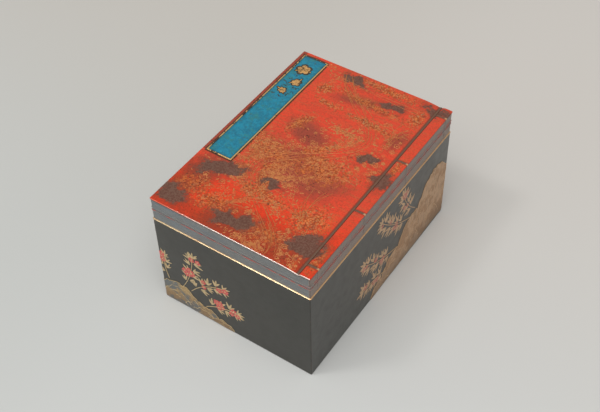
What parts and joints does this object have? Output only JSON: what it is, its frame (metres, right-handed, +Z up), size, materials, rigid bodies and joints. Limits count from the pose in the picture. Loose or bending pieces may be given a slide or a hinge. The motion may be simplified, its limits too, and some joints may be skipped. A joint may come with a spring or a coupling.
{
  "type": "incense box",
  "caption": "Rectangular black lacquer box with a flush lift-off lid shaped as two thread-bound books, over an inner lip and a hanging tray.",
  "frame": {"origin": "centre of the underside of the box", "axes": "+Z up; +X towards the spine of the two books; +Y towards their head, where the title slip lies"},
  "size_m": [0.0834, 0.1204, 0.0678],
  "materials": {
    "black_lacquer": "polished black lacquer on wood",
    "red_lacquer": "polished vermilion lacquer on wood, with gold decoration",
    "page_edges": "grey lacquer on wood, finely ridged like page edges",
    "gilt_metal": "satin gilding",
    "turquoise_glaze": "mottled turquoise glaze",
    "binding_thread": "brown-grey lacquer in low relief",
    "interior_lacquer": "dark lacquer sprinkled with gold"
  },
  "bodies": {
    "box": {"box_bottom": "interior_lacquer", "box_wall_right": "black_lacquer", "box_wall_back": "black_lacquer", "box_wall_left": "black_lacquer", "box_wall_front": "black_lacquer", "lip_right": "interior_lacquer", "lip_back": "interior_lacquer", "lip_left": "interior_lacquer", "lip_front": "interior_lacquer", "box_rim_right": "gilt_metal", "box_rim_back": "gilt_metal", "box_rim_left": "gilt_metal", "box_rim_front": "gilt_metal"},
    "lid": {"lid_rim_right": "gilt_metal", "lid_rim_back": "gilt_metal", "lid_rim_left": "gilt_metal", "lid_rim_front": "gilt_metal", "title_slip_border": "gilt_metal", "lid_wall_right": "page_edges", "lid_wall_back": "page_edges", "lid_wall_left": "page_edges", "lid_wall_front": "page_edges", "lid_top_board": "page_edges", "book_cover": "red_lacquer", "title_slip": "turquoise_glaze", "spine_thread": "binding_thread", "upper_thread_1": "binding_thread", "upper_thread_2": "binding_thread", "upper_thread_3": "binding_thread", "upper_thread_4": "binding_thread", "lower_thread_1": "binding_thread", "lower_thread_2": "binding_thread", "lower_thread_3": "binding_thread", "lower_thread_4": "binding_thread"},
    "tray": {"tray_bottom": "interior_lacquer", "tray_wall_right": "black_lacquer", "tray_wall_back": "black_lacquer", "tray_wall_left": "black_lacquer", "tray_wall_front": "black_lacquer", "tray_flange_right": "gilt_metal", "tray_flange_back": "gilt_metal", "tray_flange_left": "gilt_metal", "tray_flange_front": "gilt_metal"}
  },
  "joints": [
    {"name": "lid_lift", "type": "slide", "parent": "box", "child": "lid", "axis": [0, 0, 1], "range_m": [0, 0.09]},
    {"name": "tray_lift", "type": "slide", "parent": "box", "child": "tray", "axis": [0, 0, 1], "range_m": [0, 0.045]}
  ],
  "couplings": [
    {"joint": "tray_lift", "follows": "lid_lift", "ratio": 0.5}
  ]
}
